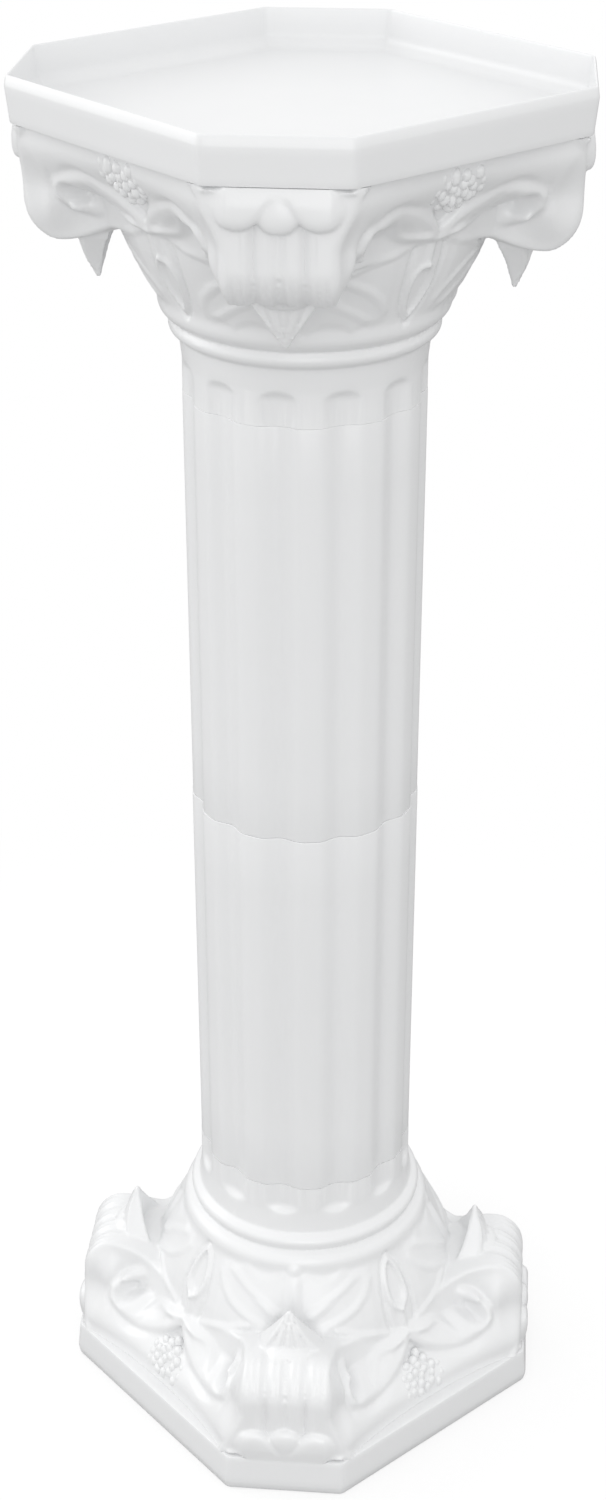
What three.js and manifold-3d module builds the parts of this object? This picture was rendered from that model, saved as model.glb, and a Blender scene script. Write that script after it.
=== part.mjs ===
// Classical pedestal column stand: two fluted shaft sections between a leafwork capital and a matching
// base, with a chamfered square dish on top and the same dish turned over as the plinth.
// Millimetres, +Z up. The origin is on the floor, under the middle of the plinth.
import * as THREE from 'three';
import { mergeVertices } from 'three/addons/utils/BufferGeometryUtils.js';
import Module from 'manifold-3d';

const wasm = await Module();
wasm.setup();

// Overall
const totalHeight = 880;
const seatGap = 0.3;           // between two stacked pieces
const slipClearance = 0.3;     // radial, between a locating ring or sleeve and what it enters
const facets = 36;             // round a full turn

// Tray and plinth: one dish, used twice
const dishHalfWidth = 137.5;   // across the flats, at the rim
const dishChamfer = 54;        // leg of the cut-off corner
const dishHeight = 25.5;
const dishTaper = 2.5;         // how much each wall leans in from rim to floor
const dishRim = 3;
const dishFloor = 2.4;
const dishCove = 8;            // sloped step between inner wall and floor
const spigotDepth = 8;
const spigotWall = 2.5;

// Shaft sections
const shaftRadius = 69.6;
const shaftWall = 2.4;
const fluteCount = 12;
const fluteDepth = 4;
const fluteWidth = 26;
const flutePhase = THREE.MathUtils.degToRad(7.5);

// Joint sleeves
const sleeveReach = 28;        // into each of the two pieces it joins
const sleeveWall = 2.2;
const collarReach = 1.6;       // collar beyond the bore
const rebateDepth = 1.2;       // recess for half the collar in each end

// Capital and base: one leafwork moulding
const headHeight = 153.7;
const headWall = 2.4;
const neckHeight = 34;
const neckFlare = 1.9;
const fluteEnd = 22;           // where the flutes stop on the neck
const abacusHeight = 13.7;
const abacusSetback = 0.5;     // behind the foot of the dish's wall
const abacusHollow = 8;        // how far each side curves in at its middle
const cornerSetback = 1.3;     // face of the corner roll, behind the dish's cut corner
const cornerHalfWidth = 28;
const cornerHeight = 49;       // from the underside of the roll up to the abacus
const cornerWaist = 100;       // distance of the curved sides from the axis, at their middle
const lobeRelief = 4;          // lobes stand this far proud of the corner roll
const lobeHalfWidth = 36;
const lobeThickness = 12;
const dropHalfWidth = 9;       // the small middle lobe
const dropPull = 24;           // how far below the top the curves' handles hang
const lobePull = 20;
const lobeLean = 3;            // how far the wide lobes' inner handles stand off the small one
const budRadius = 12;
const budReach = 114;          // its centre, from the axis
const budDrop = 10;            // its centre, below the abacus
const voluteRadius = 22;
const voluteRelief = 12;       // each volute stands this far proud of the curved side
const volutePlace = 0.24;      // along the curved side, from one corner to the next
const leafRoot = 6;            // how far the leaf tips run up inside the roll
const leafLength = 25.5;
const leafHalfWidth = 17;
const leafTipHalfWidth = 3;

const boreRadius = shaftRadius - fluteDepth - shaftWall;
const shaftLength = (totalHeight - 2 * dishHeight - 2 * headHeight - 5 * seatGap) / 2;
const fluteCutRadius = (fluteWidth ** 2 / 4 + fluteDepth ** 2) / (2 * fluteDepth);
const fluteCutCentre = shaftRadius - fluteDepth + fluteCutRadius;
const dishCorner = (2 * dishHalfWidth - dishChamfer) / Math.SQRT2;
const abacusHalfWidth = dishHalfWidth - dishTaper - abacusSetback;
const abacusBottom = headHeight - abacusHeight;
const cornerReach = dishCorner - cornerSetback;
const cornerBottom = abacusBottom - cornerHeight;
const quarterTurn = Math.PI / 2;

// Astragal: distance beyond the shaft and height above the neck
const astragalOutline = [[2.9, 1.5], [6.4, 4], [6.4, 9], [4.4, 11.5]];
// Bell: distance beyond the shaft and share of the way up from the astragal to the abacus
const bellOutline = [[5.9, 0.013], [11.4, 0.063], [16.4, 0.215], [27.9, 0.473], [37.4, 0.736], [46.4, 1]];
// Corner roll, from its underside round to its upright face: distance in from that face, and rise
const rollOutline = [[23, 0], [13, 3], [5, 12], [0, 27]];
// Side view of a hanging leaf tip: distance in from the roll's face, and height above the roll's underside
const leafOutline = [
  [45, leafRoot], [28, leafRoot], [27.5, -5], [30.5, -15], [35, -23],
  [37.5, -leafLength], [39.5, -23], [43, -11], [45, 1],
];

// ---- closed geometries to solids and back ----

function solid(geometry) {
  geometry.deleteAttribute('normal');
  geometry.deleteAttribute('uv');
  const merged = mergeVertices(geometry, 1e-4);
  const mesh = new wasm.Mesh({
    numProp: 3,
    vertProperties: new Float32Array(merged.attributes.position.array),
    triVerts: new Uint32Array(merged.index.array),
  });
  return new wasm.Manifold(mesh);
}

function named(name, shape, color, roughness) {
  const mesh = shape.getMesh();
  const geometry = new THREE.BufferGeometry();
  geometry.setAttribute('position', new THREE.BufferAttribute(mesh.vertProperties, 3));
  geometry.setIndex(new THREE.BufferAttribute(mesh.triVerts, 1));
  geometry.computeVertexNormals();
  const material = new THREE.MeshStandardMaterial({ color, roughness, metalness: 0 });
  const node = new THREE.Mesh(geometry, material);
  node.name = name;
  return node;
}

const union = (parts) => parts.reduce((whole, part) => whole.add(part));

// ---- building shapes ----

// A solid of revolution about Z whose outline starts and ends on the axis
function turned(outline) {
  const points = outline.map(([radius, height]) => new THREE.Vector2(radius, height));
  return solid(new THREE.LatheGeometry(points, facets).rotateX(quarterTurn));
}

function drum(radius, from, to) {
  const geometry = new THREE.CylinderGeometry(radius, radius, to - from, facets);
  return solid(geometry.rotateX(quarterTurn).translate(0, 0, (from + to) / 2));
}

function raised(shape, from, to, curveSegments = 5) {
  const geometry = new THREE.ExtrudeGeometry(shape, { depth: to - from, bevelEnabled: false, curveSegments });
  return solid(geometry.translate(0, 0, from));
}

// An outline drawn as (distance from the axis, height), given a thickness across that plane
function upright(shape, thickness) {
  const geometry = new THREE.ExtrudeGeometry(shape, { depth: thickness, bevelEnabled: false });
  return solid(geometry.translate(0, 0, -thickness / 2).rotateX(quarterTurn));
}

function polygon(points) {
  return new THREE.Shape(points.map(([x, y]) => new THREE.Vector2(x, y)));
}

// Four-sided frustum between two heights; turned 45 degrees it cuts the corners off another one
function taperedSquare(halfLow, halfHigh, from, to, turn = 0) {
  const [low, high] = [halfLow * Math.SQRT2, halfHigh * Math.SQRT2];
  const geometry = new THREE.CylinderGeometry(high, low, to - from, 4, 1, false, Math.PI / 4);
  return solid(geometry.rotateX(quarterTurn).rotateZ(turn).translate(0, 0, (from + to) / 2));
}

function chamferedFrustum(halfLow, halfHigh, from, to) {
  const cornerDistance = (half) => dishCorner - (dishHalfWidth - half);
  const square = taperedSquare(halfLow, halfHigh, from, to);
  const corners = taperedSquare(cornerDistance(halfLow), cornerDistance(halfHigh), from, to, Math.PI / 4);
  return square.intersect(corners);
}

// Ends and handle of one side of a square whose corners are cut and whose sides curve in to waist
function curvedSide(corner, halfWidth, waist) {
  const far = (corner + halfWidth) / Math.SQRT2;
  const near = (corner - halfWidth) / Math.SQRT2;
  return { far, near, control: 2 * waist - far };
}

function hollowSquare(corner, halfWidth, waist) {
  const { far, near, control } = curvedSide(corner, halfWidth, waist);
  const shape = new THREE.Shape();
  shape.moveTo(far, -near);
  shape.quadraticCurveTo(control, 0, far, near);
  shape.lineTo(near, far);
  shape.quadraticCurveTo(0, control, -near, far);
  shape.lineTo(-far, near);
  shape.quadraticCurveTo(-control, 0, -far, -near);
  shape.lineTo(-near, -far);
  shape.quadraticCurveTo(0, -control, near, -far);
  return shape;
}

// Circle with a round-bottomed flute cut into it at each pitch
function flutedOutline(radius, cutRadius) {
  const across = (radius ** 2 + fluteCutCentre ** 2 - cutRadius ** 2) / (2 * radius * fluteCutCentre);
  const within = (fluteCutCentre ** 2 + cutRadius ** 2 - radius ** 2) / (2 * fluteCutCentre * cutRadius);
  const halfFlute = Math.acos(across);
  const halfCut = Math.acos(within);
  const pitch = 2 * Math.PI / fluteCount;
  const path = new THREE.Shape();
  for (let flute = 0; flute < fluteCount; flute += 1) {
    const middle = flutePhase + flute * pitch;
    const x = fluteCutCentre * Math.cos(middle);
    const y = fluteCutCentre * Math.sin(middle);
    path.absarc(x, y, cutRadius, middle + Math.PI + halfCut, middle + Math.PI - halfCut, true);
    path.absarc(0, 0, radius, middle + halfFlute, middle + pitch - halfFlute, false);
  }
  return path;
}

// ---- pieces ----

// Underside at z = 0, rim at the top, locating ring below
function dish() {
  const floorHalf = dishHalfWidth - dishTaper;
  const wallAt = (height) => floorHalf + dishTaper * height / dishHeight - dishRim;
  const coveTop = dishFloor + dishCove;
  const outer = chamferedFrustum(floorHalf, dishHalfWidth, 0, dishHeight);
  const upper = chamferedFrustum(wallAt(coveTop), wallAt(dishHeight + 1), coveTop, dishHeight + 1);
  const cove = chamferedFrustum(wallAt(coveTop) - dishCove, wallAt(coveTop), dishFloor, coveTop);
  const spigotRadius = abacusHalfWidth - abacusHollow - headWall - slipClearance;
  const spigotHole = drum(spigotRadius - spigotWall, -spigotDepth - 1, 0);
  const ring = drum(spigotRadius, -spigotDepth, 1).subtract(spigotHole);
  return outer.add(ring).subtract(upper.add(cove));
}

function fluteCutters(phase) {
  const cutters = [];
  const length = fluteEnd - fluteWidth / 2;
  for (let flute = 0; flute < fluteCount; flute += 1) {
    const angle = phase + flute * 2 * Math.PI / fluteCount;
    const place = [fluteCutCentre * Math.cos(angle), fluteCutCentre * Math.sin(angle), 0];
    const groove = new THREE.CapsuleGeometry(fluteCutRadius, 2 * length, 4, 24).rotateX(quarterTurn);
    cutters.push(solid(groove.translate(...place)));
  }
  return union(cutters);
}

function leafTipSolid() {
  const outline = leafOutline.map(([inward, rise]) => [cornerReach - inward, cornerBottom + rise]);
  const side = upright(polygon(outline), 2 * leafHalfWidth);
  const [top, tip] = [cornerBottom + leafRoot + 1, cornerBottom - leafLength - 1];
  const front = polygon([
    [-leafHalfWidth, top], [-leafTipHalfWidth, tip], [leafTipHalfWidth, tip], [leafHalfWidth, top],
  ]);
  const across = new THREE.ExtrudeGeometry(front, { depth: cornerReach, bevelEnabled: false });
  return side.intersect(solid(across.rotateX(quarterTurn).rotateZ(quarterTurn)));
}

function cornerLobes() {
  const [side, drop] = [lobeHalfWidth, dropHalfWidth];
  const shape = new THREE.Shape();
  shape.moveTo(-side, 0);
  shape.bezierCurveTo(-side, -lobePull, -drop - lobeLean, -lobePull, -drop, -drop);
  shape.bezierCurveTo(-drop, -dropPull, drop, -dropPull, drop, -drop);
  shape.bezierCurveTo(drop + lobeLean, -lobePull, side, -lobePull, side, 0);
  const settings = { depth: lobeThickness, bevelEnabled: false, curveSegments: 4 };
  const geometry = new THREE.ExtrudeGeometry(shape, settings);
  geometry.rotateX(quarterTurn).rotateZ(quarterTurn);
  return solid(geometry.translate(cornerReach + lobeRelief - lobeThickness, 0, headHeight));
}

// Round boss on each cheek of a corner, the volute's curl
function voluteBosses() {
  const { far, near, control } = curvedSide(cornerReach, cornerHalfWidth, cornerWaist);
  const toMiddle = 1 - 2 * volutePlace;
  const alongFace = near * toMiddle;
  const fromAxis = far + 2 * (control - far) * volutePlace * (1 - volutePlace);
  const lean = Math.atan2((far - control) * toMiddle, near);
  const bosses = [];
  for (const side of [-1, 1]) {
    const geometry = new THREE.CylinderGeometry(voluteRadius, voluteRadius, 2 * voluteRelief, 16);
    geometry.rotateZ(quarterTurn - side * lean);
    geometry.translate(fromAxis, side * alongFace, (cornerBottom + abacusBottom) / 2);
    bosses.push(solid(geometry));
  }
  return bosses;
}

// Capital standing on its neck joint; the base is the same piece turned over
function columnHead(phase) {
  const aboveNeck = ([beyond, rise]) => [shaftRadius + beyond, neckHeight + rise];
  const bellFoot = neckHeight + astragalOutline.at(-1)[1];
  const upBell = ([beyond, share]) => [shaftRadius + beyond, bellFoot + share * (abacusBottom - bellFoot)];
  const neck = [[0, 0], [shaftRadius, 0], [shaftRadius, fluteEnd], aboveNeck([neckFlare, 0])];
  const swell = [...astragalOutline.map(aboveNeck), ...bellOutline.map(upBell)];
  const bell = turned([...neck, ...swell, [0, abacusBottom]]);
  const chamferDistance = dishCorner - dishTaper - abacusSetback;
  const chamferHalf = dishChamfer / Math.SQRT2;
  const abacusSide = abacusHalfWidth - abacusHollow;
  const abacus = raised(hollowSquare(chamferDistance, chamferHalf, abacusSide), abacusBottom - 1, headHeight);
  const roll = turned([
    [0, cornerBottom], ...rollOutline.map(([inward, rise]) => [cornerReach - inward, cornerBottom + rise]),
    [cornerReach, abacusBottom], [0, abacusBottom],
  ]);
  const corners = raised(hollowSquare(cornerReach, cornerHalfWidth, cornerWaist), cornerBottom, abacusBottom);
  const ornaments = [];
  for (let side = 0; side < 4; side += 1) {
    const bud = solid(new THREE.SphereGeometry(budRadius, 10, 6).translate(budReach, 0, abacusBottom - budDrop));
    const faceTurn = 90 * side;
    ornaments.push(bud.rotate([0, 0, faceTurn]));
    ornaments.push(...voluteBosses().map((boss) => boss.rotate([0, 0, faceTurn])));
    ornaments.push(leafTipSolid().rotate([0, 0, faceTurn + 45]));
    ornaments.push(cornerLobes().rotate([0, 0, faceTurn + 45]));
  }
  const outside = union([bell, abacus, corners.intersect(roll), ...ornaments]);

  const above = headHeight + 1;
  const bellInside = bellOutline.map(([beyond, share]) => upBell([beyond - headWall, share]));
  const bellCore = turned([
    [0, -1], [boreRadius, -1], [boreRadius, neckHeight], ...bellInside,
    [bellInside.at(-1)[0], above], [0, above],
  ]);
  const abacusCore = raised(
    hollowSquare(chamferDistance - headWall, chamferHalf - headWall / 2, abacusSide - headWall),
    abacusBottom + headWall, above,
  );
  const rollCore = turned([
    [0, cornerBottom + headWall],
    ...rollOutline.map(([inward, rise]) => [cornerReach - inward - headWall, cornerBottom + headWall + rise]),
    [cornerReach - headWall, above], [0, above],
  ]);
  const cornerCore = raised(
    hollowSquare(cornerReach - headWall, cornerHalfWidth - headWall, cornerWaist - 4 * headWall),
    cornerBottom + headWall, above,
  );
  const rebate = drum(boreRadius + collarReach, -1, rebateDepth);
  const inside = union([bellCore, abacusCore, rollCore.intersect(cornerCore), rebate]);
  return outside.subtract(inside).subtract(fluteCutters(phase));
}

function shaftSection() {
  const outline = flutedOutline(shaftRadius, fluteCutRadius);
  outline.holes.push(flutedOutline(shaftRadius - shaftWall, fluteCutRadius + shaftWall));
  const tube = raised(outline, 0, shaftLength, 2);
  const rebateRadius = boreRadius + collarReach;
  const lowRebate = drum(rebateRadius, -1, rebateDepth);
  const highRebate = drum(rebateRadius, shaftLength - rebateDepth, shaftLength + 1);
  return tube.subtract(lowRebate).subtract(highRebate);
}

// Sleeve centred on the seam that it lines up
function jointRing() {
  const outer = boreRadius - slipClearance;
  const collarRadius = boreRadius + collarReach - slipClearance;
  const collarHalf = rebateDepth + seatGap / 2 - slipClearance;
  const sleeve = drum(outer, -sleeveReach, sleeveReach);
  const collar = drum(collarRadius, -collarHalf, collarHalf);
  return sleeve.add(collar).subtract(drum(outer - sleeveWall, -sleeveReach - 1, sleeveReach + 1));
}

// ---- the stand, from the floor up ----

const stand = new THREE.Group();
const white = 0xf1f2f3;
const satin = 0.38;

const plinth = named('plinth', dish(), white, satin);
plinth.rotation.x = Math.PI;
plinth.position.z = dishHeight;

const baseTop = dishHeight + seatGap + headHeight;
const base = named('base', columnHead(-flutePhase), white, satin);
base.rotation.x = Math.PI;
base.position.z = baseTop;

const lowerShaft = named('lower_shaft', shaftSection(), white, satin);
lowerShaft.position.z = baseTop + seatGap;

const upperShaft = named('upper_shaft', shaftSection(), white, satin);
upperShaft.position.z = lowerShaft.position.z + shaftLength + seatGap;

const capital = named('capital', columnHead(flutePhase), white, satin);
capital.position.z = upperShaft.position.z + shaftLength + seatGap;

const tray = named('tray', dish(), white, satin);
tray.position.z = totalHeight - dishHeight;

stand.add(plinth, base, lowerShaft, upperShaft, capital, tray);

const rings = [
  ['bottom_joint_ring', lowerShaft],
  ['middle_joint_ring', upperShaft],
  ['top_joint_ring', capital],
];
for (const [name, pieceAbove] of rings) {
  const ring = named(name, jointRing(), 0xe4e5e6, 0.55);
  ring.position.z = pieceAbove.position.z - seatGap / 2;
  stand.add(ring);
}

export default stand;
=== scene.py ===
import math
import bmesh
import bpy
import numpy as np
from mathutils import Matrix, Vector

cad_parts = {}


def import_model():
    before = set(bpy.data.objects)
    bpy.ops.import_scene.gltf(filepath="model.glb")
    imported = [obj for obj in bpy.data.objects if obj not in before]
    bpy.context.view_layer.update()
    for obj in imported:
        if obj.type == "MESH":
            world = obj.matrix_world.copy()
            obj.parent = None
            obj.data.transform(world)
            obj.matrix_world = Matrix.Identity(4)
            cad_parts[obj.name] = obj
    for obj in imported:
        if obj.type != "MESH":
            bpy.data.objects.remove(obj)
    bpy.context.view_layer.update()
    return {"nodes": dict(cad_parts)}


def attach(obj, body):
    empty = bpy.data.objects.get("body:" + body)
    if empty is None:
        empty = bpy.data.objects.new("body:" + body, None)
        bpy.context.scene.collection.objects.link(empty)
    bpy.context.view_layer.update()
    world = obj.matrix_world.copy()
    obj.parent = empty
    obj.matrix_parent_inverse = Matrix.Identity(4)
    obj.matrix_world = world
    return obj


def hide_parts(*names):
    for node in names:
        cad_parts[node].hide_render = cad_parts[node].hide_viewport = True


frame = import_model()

mm = 0.001
print("frame loaded")


def meshObject(name, points, faces, smoothAngle=None):
    mesh = bpy.data.meshes.new(name)
    mesh.from_pydata([tuple(p) for p in points], [], [tuple(f) for f in faces])
    mesh.update()
    piece = bpy.data.objects.new(name, mesh)
    bpy.context.collection.objects.link(piece)
    shade(mesh, smoothAngle)
    return piece


def shade(mesh, smoothAngle=None):
    mesh.shade_smooth()
    if smoothAngle is not None:
        mesh.set_sharp_from_angle(angle=math.radians(smoothAngle))


def bakeModifiers(piece):
    # keeps the result of the live modifiers as a plain mesh
    graph = bpy.context.evaluated_depsgraph_get()
    graph.update()
    mesh = bpy.data.meshes.new_from_object(piece.evaluated_get(graph), depsgraph=graph)
    mesh.name = piece.name
    piece.modifiers.clear()
    old = piece.data
    piece.data = mesh
    bpy.data.meshes.remove(old)


def setInputs(modifier, values):
    # a modifier's inputs are set by each socket's identifier
    for item in modifier.node_group.interface.items_tree:
        if item.item_type == "SOCKET" and item.in_out == "INPUT" and item.name in values:
            modifier[item.identifier] = values[item.name]


# height of each piece's own zero above the floor, in mm
pieceHeights = {
    "trayDish": 854.5, "plinthDish": 25.5, "lowerShaftTube": 179.7, "upperShaftTube": 440.05,
    "capitalLeafwork": 700.5, "baseLeafwork": 179.5, "capitalBerries": 840.0, "baseBerries": 40.0,
}
fluteTurn = math.radians(7.5)      # of the first flute, from the middle of a face

cameraSettings = {
    "distance": 1.2799,        # from the column's axis, along the floor
    "height": 1.1552,
    "azimuth": -130.0,         # where it stands, seen from above
    "pitch": 28.32,            # below the horizon
    "lens": 56.67,             # on a sensor 36 mm high
    "sensorHeight": 36.0,
    "shiftX": -0.0014,
    "clip": (0.02, 60),
}


def addCamera(c):
    angle, pitch = math.radians(c["azimuth"]), math.radians(c["pitch"])
    data = bpy.data.cameras.new("photoCamera")
    data.sensor_fit = "VERTICAL"
    data.sensor_height = c["sensorHeight"]
    data.lens = c["lens"]
    data.shift_x = c["shiftX"]
    data.clip_start, data.clip_end = c["clip"]
    camera = bpy.data.objects.new("photoCamera", data)
    bpy.context.collection.objects.link(camera)
    camera.location = (c["distance"] * math.cos(angle), c["distance"] * math.sin(angle), c["height"])
    look = Vector((-math.cos(angle) * math.cos(pitch), -math.sin(angle) * math.cos(pitch), -math.sin(pitch)))
    camera.rotation_euler = look.to_track_quat("-Z", "Y").to_euler()
    bpy.context.scene.camera = camera


addCamera(cameraSettings)
print("camera placed")


# scale, detail and roughness of each noise, then where an edge takes the painted highlight and how much of that
# painted highlight is even
surfacePattern = {
    "cloudy": (9, 3, 0.5), "grain": (900, 2, 0.5), "smudges": (34, 4, 0.6), "waves": (26, 1, 0.5),
    "edgeFrom": 0.52, "edgeTo": 0.64, "evenEdgeHighlight": 0.25, "patchyEdgeHighlight": 0.6,
}


def mouldedSurface(p):
    # soft mottling, handling marks, a painted highlight along convex edges and the faint unevenness of a thin moulded
    # wall
    group = bpy.data.node_groups.new("mouldedSurface", "ShaderNodeTree")
    for name in ("Color", "Edge Highlight Color"):
        group.interface.new_socket(name=name, in_out="INPUT", socket_type="NodeSocketColor")
    for name in ("Mottle", "Roughness", "Roughness Spread", "Waviness", "Grain"):
        socket = group.interface.new_socket(name=name, in_out="INPUT", socket_type="NodeSocketFloat")
        socket.min_value, socket.max_value = 0, 1
    for name, kind in (("Color", "NodeSocketColor"), ("Roughness", "NodeSocketFloat"), ("Height", "NodeSocketFloat")):
        group.interface.new_socket(name=name, in_out="OUTPUT", socket_type=kind)
    nodes, links = group.nodes, group.links
    start, end = nodes.new("NodeGroupInput"), nodes.new("NodeGroupOutput")
    place = nodes.new("ShaderNodeTexCoord")

    def noise(pattern):
        node = nodes.new("ShaderNodeTexNoise")
        for label, value in zip(("Scale", "Detail", "Roughness"), p[pattern]):
            node.inputs[label].default_value = value
        links.new(place.outputs["Object"], node.inputs["Vector"])
        return node.outputs["Fac"]

    def combine(operation, a, b):
        node = nodes.new("ShaderNodeMath")
        node.operation = operation
        for socket, value in zip(node.inputs, (a, b)):
            if isinstance(value, (int, float)):
                socket.default_value = value
            else:
                links.new(value, socket)
        return node.outputs[0]

    cloudy, grain, smudges, waves = [noise(pattern) for pattern in ("cloudy", "grain", "smudges", "waves")]

    # colour: mottled about the plain tone, and a touch paler along convex edges as a painted highlight, patchy with
    # the smudges
    shift = combine("MULTIPLY", combine("SUBTRACT", cloudy, 0.5), start.outputs["Mottle"])
    tone = combine("ADD", 1.0, shift)
    toned = nodes.new("ShaderNodeVectorMath")
    toned.operation = "SCALE"
    links.new(start.outputs["Color"], toned.inputs[0])
    links.new(tone, toned.inputs["Scale"])
    geometry = nodes.new("ShaderNodeNewGeometry")
    edge = nodes.new("ShaderNodeMapRange")
    edge.inputs["From Min"].default_value = p["edgeFrom"]
    edge.inputs["From Max"].default_value = p["edgeTo"]
    links.new(geometry.outputs["Pointiness"], edge.inputs["Value"])
    # painted highlight on convex edges: partly even, partly in patches from the smudge noise
    edgeHighlightAmount = combine("ADD", p["evenEdgeHighlight"], combine("MULTIPLY", smudges, p["patchyEdgeHighlight"]))
    paintedEdgeHighlight = combine("MULTIPLY", edge.outputs[0], edgeHighlightAmount)
    mix = nodes.new("ShaderNodeMix")
    mix.data_type = "RGBA"
    links.new(paintedEdgeHighlight, mix.inputs["Factor"])
    links.new(toned.outputs[0], mix.inputs["A"])
    links.new(start.outputs["Edge Highlight Color"], mix.inputs["B"])
    links.new(mix.outputs["Result"], end.inputs["Color"])

    spread = combine("MULTIPLY", combine("SUBTRACT", smudges, 0.5), start.outputs["Roughness Spread"])
    links.new(combine("ADD", start.outputs["Roughness"], spread), end.inputs["Roughness"])

    height = combine("ADD", combine("MULTIPLY", waves, start.outputs["Waviness"]),
                     combine("MULTIPLY", grain, start.outputs["Grain"]))
    links.new(height, end.inputs["Height"])
    return group


surfaceGroup = mouldedSurface(surfacePattern)

whiteMoulding = {
    "Color": (0.80, 0.805, 0.81, 1),
    # the paler colour painted on convex edges as a highlight
    "Edge Highlight Color": (0.86, 0.865, 0.868, 1),
    "Mottle": 0.035,
    "Roughness": 0.34,
    "Roughness Spread": 0.12,
    "Waviness": 0.5,
    "Grain": 0.04,
}
innerSleeve = {
    "Color": (0.70, 0.705, 0.71, 1),
    "Edge Highlight Color": (0.78, 0.785, 0.79, 1),
    "Mottle": 0.06,
    "Roughness": 0.55,
    "Roughness Spread": 0.1,
    "Waviness": 0.3,
    "Grain": 0.15,
}


def plasticMaterial(name, values, bumpDistance, coat, coatRoughness=0.22, ior=1.49):
    material = bpy.data.materials.new(name)
    material.use_nodes = True
    nodes, links = material.node_tree.nodes, material.node_tree.links
    plastic = nodes["Principled BSDF"]
    surface = nodes.new("ShaderNodeGroup")
    surface.node_tree = surfaceGroup
    for key, value in values.items():
        surface.inputs[key].default_value = value
    bump = nodes.new("ShaderNodeBump")
    bump.inputs["Strength"].default_value = 1.0
    bump.inputs["Distance"].default_value = bumpDistance
    links.new(surface.outputs["Color"], plastic.inputs["Base Color"])
    links.new(surface.outputs["Roughness"], plastic.inputs["Roughness"])
    links.new(surface.outputs["Height"], bump.inputs["Height"])
    links.new(bump.outputs["Normal"], plastic.inputs["Normal"])
    plastic.inputs["IOR"].default_value = ior
    plastic.inputs["Coat Weight"].default_value = coat
    plastic.inputs["Coat Roughness"].default_value = coatRoughness
    return material


whiteMaterial = plasticMaterial("whiteMoulding", whiteMoulding, bumpDistance=0.0006, coat=0.25)
sleeveMaterial = plasticMaterial("innerSleeve", innerSleeve, bumpDistance=0.0004, coat=0.0)
print("materials made")


dishSizes = {
    "halfWidth": 137.5,        # at the rim, across the flats
    "chamfer": 54.0,           # leg of each cut-off corner
    "height": 25.5,
    "taper": 2.5,              # wall leaning in towards the floor
    "rim": 3.0,
    "floor": 2.4,
    "cove": 9.0,               # soft turn from inner wall to floor
    "flat": 110.0,             # half width of the one flat face in the middle of the floor
    "cornerRounding": 6.0,     # of the eight upright edges
    "spigotRadius": 123.8,     # ring below that drops into the capital
    "spigotWall": 2.5,
    "spigotDepth": 8.0,
    "spigotSteps": 144,
}


def cutSquare(half, chamfer, rounding, arcPoints=5):
    # a square with cut corners, each of the eight corners drawn as a small arc
    near = half - chamfer
    corners = []
    for turn in range(4):
        angle = turn * math.pi / 2
        for x, y in ((half, -near), (half, near)):
            corners.append((x * math.cos(angle) - y * math.sin(angle), x * math.sin(angle) + y * math.cos(angle)))
    points = []
    count = len(corners)
    for i, corner in enumerate(corners):
        before, after = corners[i - 1], corners[(i + 1) % count]
        corner, before, after = Vector(corner), Vector(before), Vector(after)
        toBefore, toAfter = (before - corner).normalized(), (after - corner).normalized()
        turnAngle = math.pi - toBefore.angle(toAfter)
        leg = rounding * math.tan(turnAngle / 2)
        start, end = corner + toBefore * leg, corner + toAfter * leg
        for step in range(arcPoints):
            t = step / (arcPoints - 1)
            point = start * (1 - t) ** 2 + corner * 2 * t * (1 - t) + end * t ** 2
            points.append((point.x, point.y))
        far = end
        nextCorner = Vector(corners[(i + 1) % count])
        nextAfter = Vector(corners[(i + 2) % count])
        nextTurn = math.pi - (corner - nextCorner).normalized().angle((nextAfter - nextCorner).normalized())
        reach = nextCorner + (corner - nextCorner).normalized() * rounding * math.tan(nextTurn / 2)
        for share in (0.03, 0.35, 0.65, 0.97):
            point = far.lerp(reach, share)
            points.append((point.x, point.y))
    return points


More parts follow.
